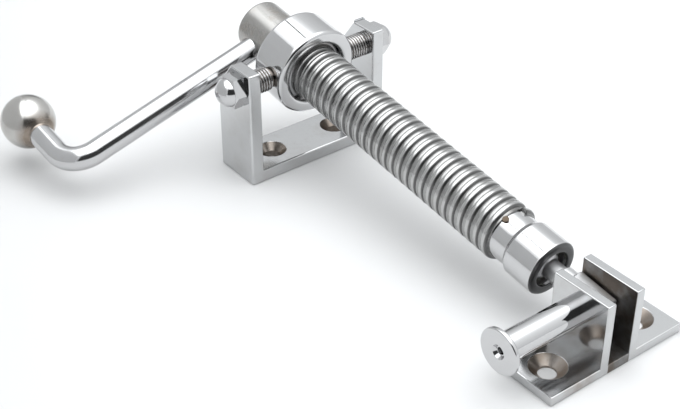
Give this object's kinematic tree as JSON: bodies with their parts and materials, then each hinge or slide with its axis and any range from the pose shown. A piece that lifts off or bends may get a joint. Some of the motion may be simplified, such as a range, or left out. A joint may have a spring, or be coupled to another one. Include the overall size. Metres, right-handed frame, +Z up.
{
  "type": "window opener",
  "caption": "Screw-type window opener: wire-wound spindle with a cranked handle in a swinging collar, ball-jointed stud and quick-release window bracket.",
  "frame": {"origin": "middle of the frame bracket's underside", "axes": "+X from the frame bracket towards the window bracket, +Z up, away from the mounting faces"},
  "size_m": [0.2007, 0.1201, 0.049],
  "materials": {
    "chrome": "bright polished",
    "bracket_chrome": "bright plated sheet",
    "screw_chrome": "bright polished",
    "spindle_chrome": "bright plated wire",
    "satin_nickel": "softly polished nickel",
    "steel": "plain spring steel",
    "nylon": "natural nylon"
  },
  "bodies": {
    "frame": {"frame_bracket": "bracket_chrome", "pivot_screw_left": "screw_chrome", "pivot_screw_right": "screw_chrome"},
    "swing": {"collar": "chrome", "nut_coil": "steel"},
    "carriage": {"ball_seat": "nylon"},
    "spindle": {"spindle_tube": "spindle_chrome", "thread_wire": "spindle_chrome", "thread_stop": "spindle_chrome", "lock_pin": "steel", "hub": "satin_nickel", "hub_pin": "steel", "crank_rod": "chrome", "crank_knob": "satin_nickel", "socket_head": "chrome", "socket_ring": "steel"},
    "swivel": {"ball_liner": "nylon"},
    "stud": {"ball_stud": "screw_chrome"},
    "window": {"window_plate": "bracket_chrome", "ear_left": "bracket_chrome", "ear_right": "bracket_chrome", "plunger_barrel": "chrome", "barrel_bush": "steel", "pin_spring": "steel"},
    "plunger": {"cross_pin": "screw_chrome", "pull_disc": "chrome"}
  },
  "joints": [
    {"name": "collar_tilt", "type": "hinge", "parent": "frame", "child": "swing", "pos_m": [0.00225, 0, 0.0332], "axis": [0, 1, 0], "range_deg": [-12, 45]},
    {"name": "spindle_slide", "type": "slide", "parent": "swing", "child": "carriage", "axis": [0.9905, 0, -0.1373], "range_m": [-0.09, 0]},
    {"name": "crank_turn", "type": "hinge", "parent": "carriage", "child": "spindle", "pos_m": [0.00225, 0, 0.0332], "axis": [0.9905, 0, -0.1373], "range_deg": [-9360, 0]},
    {"name": "ball_yaw", "type": "hinge", "parent": "carriage", "child": "swivel", "pos_m": [0.11022, 0, 0.01824], "axis": [0.1373, 0, 0.9905], "range_deg": [-14, 14]},
    {"name": "ball_pitch", "type": "hinge", "parent": "swivel", "child": "stud", "pos_m": [0.11022, 0, 0.01824], "axis": [0, 1, 0], "range_deg": [-14, 14]},
    {"name": "window_pivot", "type": "hinge", "parent": "stud", "child": "window", "pos_m": [0.13142, 0, 0.0153], "axis": [0, 1, 0], "range_deg": [-90, 30]},
    {"name": "pin_pull", "type": "slide", "parent": "window", "child": "plunger", "axis": [0, -1, 0], "range_m": [0, 0.01145], "stiffness_N_per_m": 350, "springref_m": -0.008, "deforming": ["pin_spring"]}
  ],
  "couplings": [
    {"joint": "spindle_slide", "follows": "crank_turn", "m_per_rad": 0.00055068}
  ]
}
